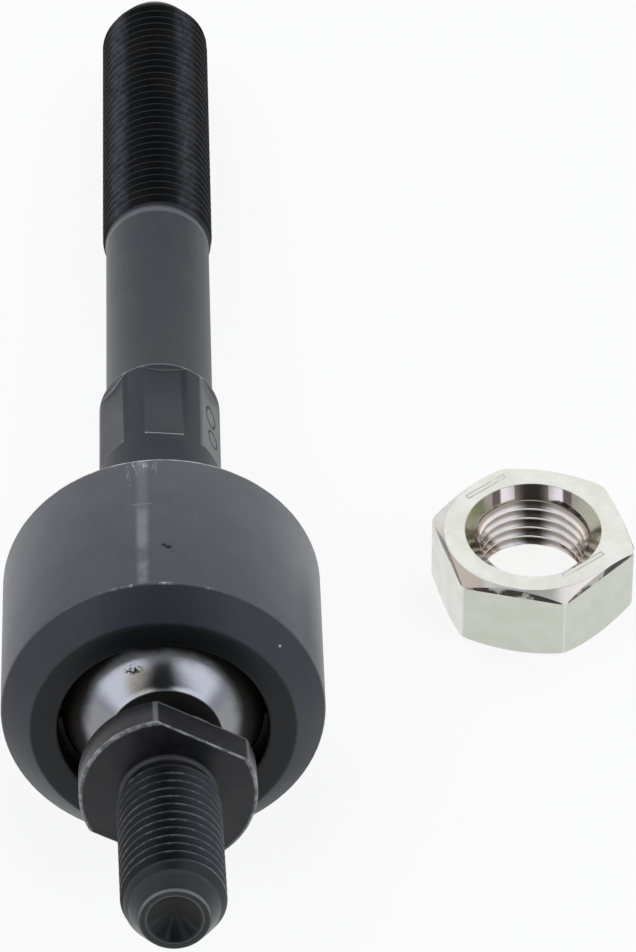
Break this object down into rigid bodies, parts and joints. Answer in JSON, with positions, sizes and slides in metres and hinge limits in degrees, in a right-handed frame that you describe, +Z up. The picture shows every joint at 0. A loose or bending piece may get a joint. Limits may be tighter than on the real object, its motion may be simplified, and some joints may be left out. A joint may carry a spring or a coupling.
{
  "type": "inner tie rod",
  "caption": "Steering tie rod with a ball stud in a rolled-over housing, a long shank with an outer thread, and a loose jam nut beside it.",
  "frame": {"origin": "on the table plane, under the middle of everything that lies on it", "axes": "+Y along the rod in plan, from the ball stud towards the outer thread; +Z up; the jam nut lies on the +X side"},
  "size_m": [0.0758, 0.186, 0.0395],
  "materials": {
    "black_steel": "satin black phosphate",
    "stud_steel": "dark phosphate with a polished ball",
    "seat_plastic": "matt",
    "zinc_plated_steel": "bright zinc plated"
  },
  "bodies": {
    "rod": {"tie_rod_body": "black_steel", "jam_nut": "zinc_plated_steel"},
    "seat": {"ball_seat": "seat_plastic"},
    "stud": {"ball_stud": "stud_steel"}
  },
  "joints": [
    {"name": "seat_turn", "type": "hinge", "parent": "rod", "child": "seat", "pos_m": [-0.0192, -0.04723, 0.02042], "axis": [0, 0.9951, -0.099], "continuous": true},
    {"name": "stud_tilt", "type": "hinge", "parent": "seat", "child": "stud", "pos_m": [-0.0192, -0.04723, 0.02042], "axis": [-0.9586, 0.0282, 0.2834], "range_deg": [-29.38, 20.62]}
  ]
}
